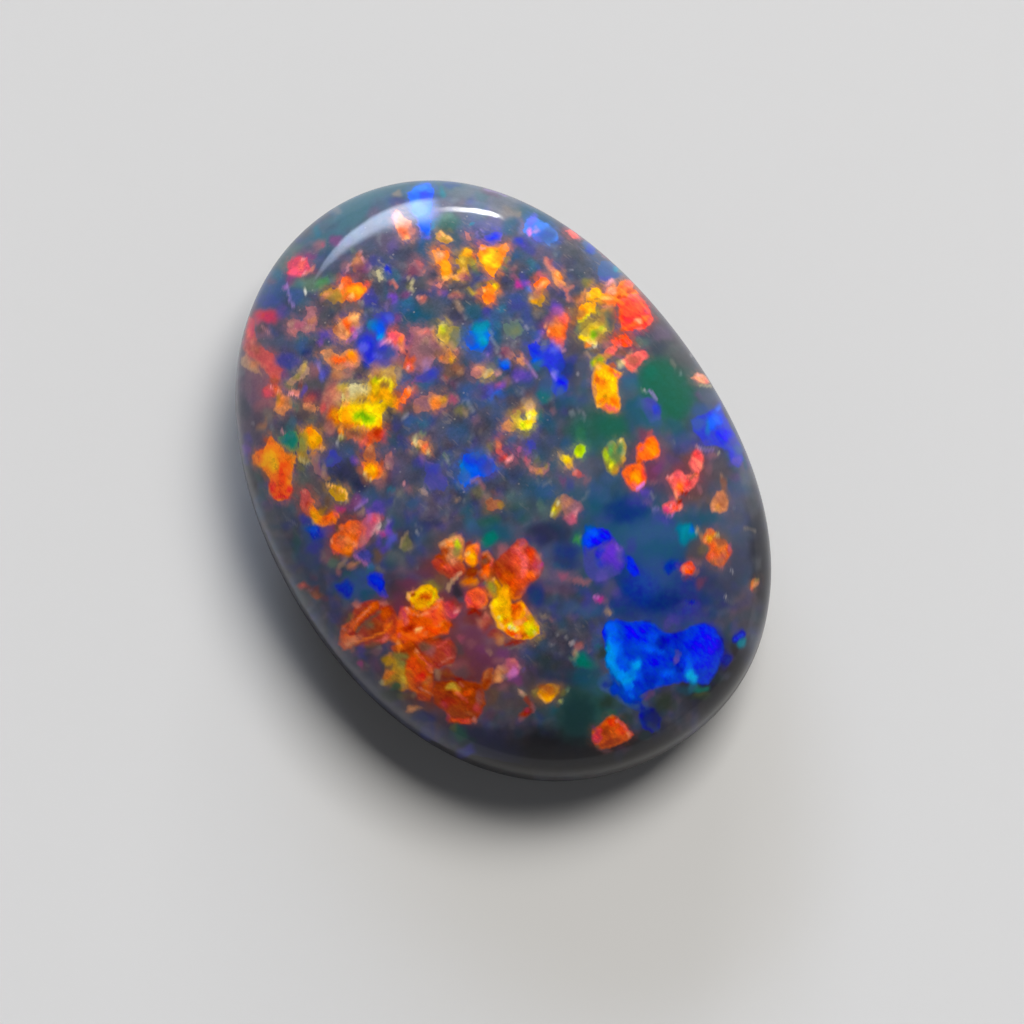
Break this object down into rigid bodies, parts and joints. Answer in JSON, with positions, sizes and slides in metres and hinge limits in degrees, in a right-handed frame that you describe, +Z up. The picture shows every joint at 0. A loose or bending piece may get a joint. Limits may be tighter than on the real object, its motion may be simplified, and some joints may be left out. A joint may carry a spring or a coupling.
{
  "type": "black opal cabochon",
  "caption": "Polished oval black opal with a low dome, dark body and vivid patchy play of colour, resting on a small flat spot on its back.",
  "frame": {"origin": "on the resting plane, under the middle of the stone's oval outline", "axes": "+Z up from the resting spot to the top of the dome, +Y along the oval's long axis, +X along its short axis"},
  "size_m": [0.01, 0.014, 0.0038],
  "materials": {
    "polished_opal": "polished"
  },
  "bodies": {
    "root": {"opal": "polished_opal"}
  },
  "joints": []
}
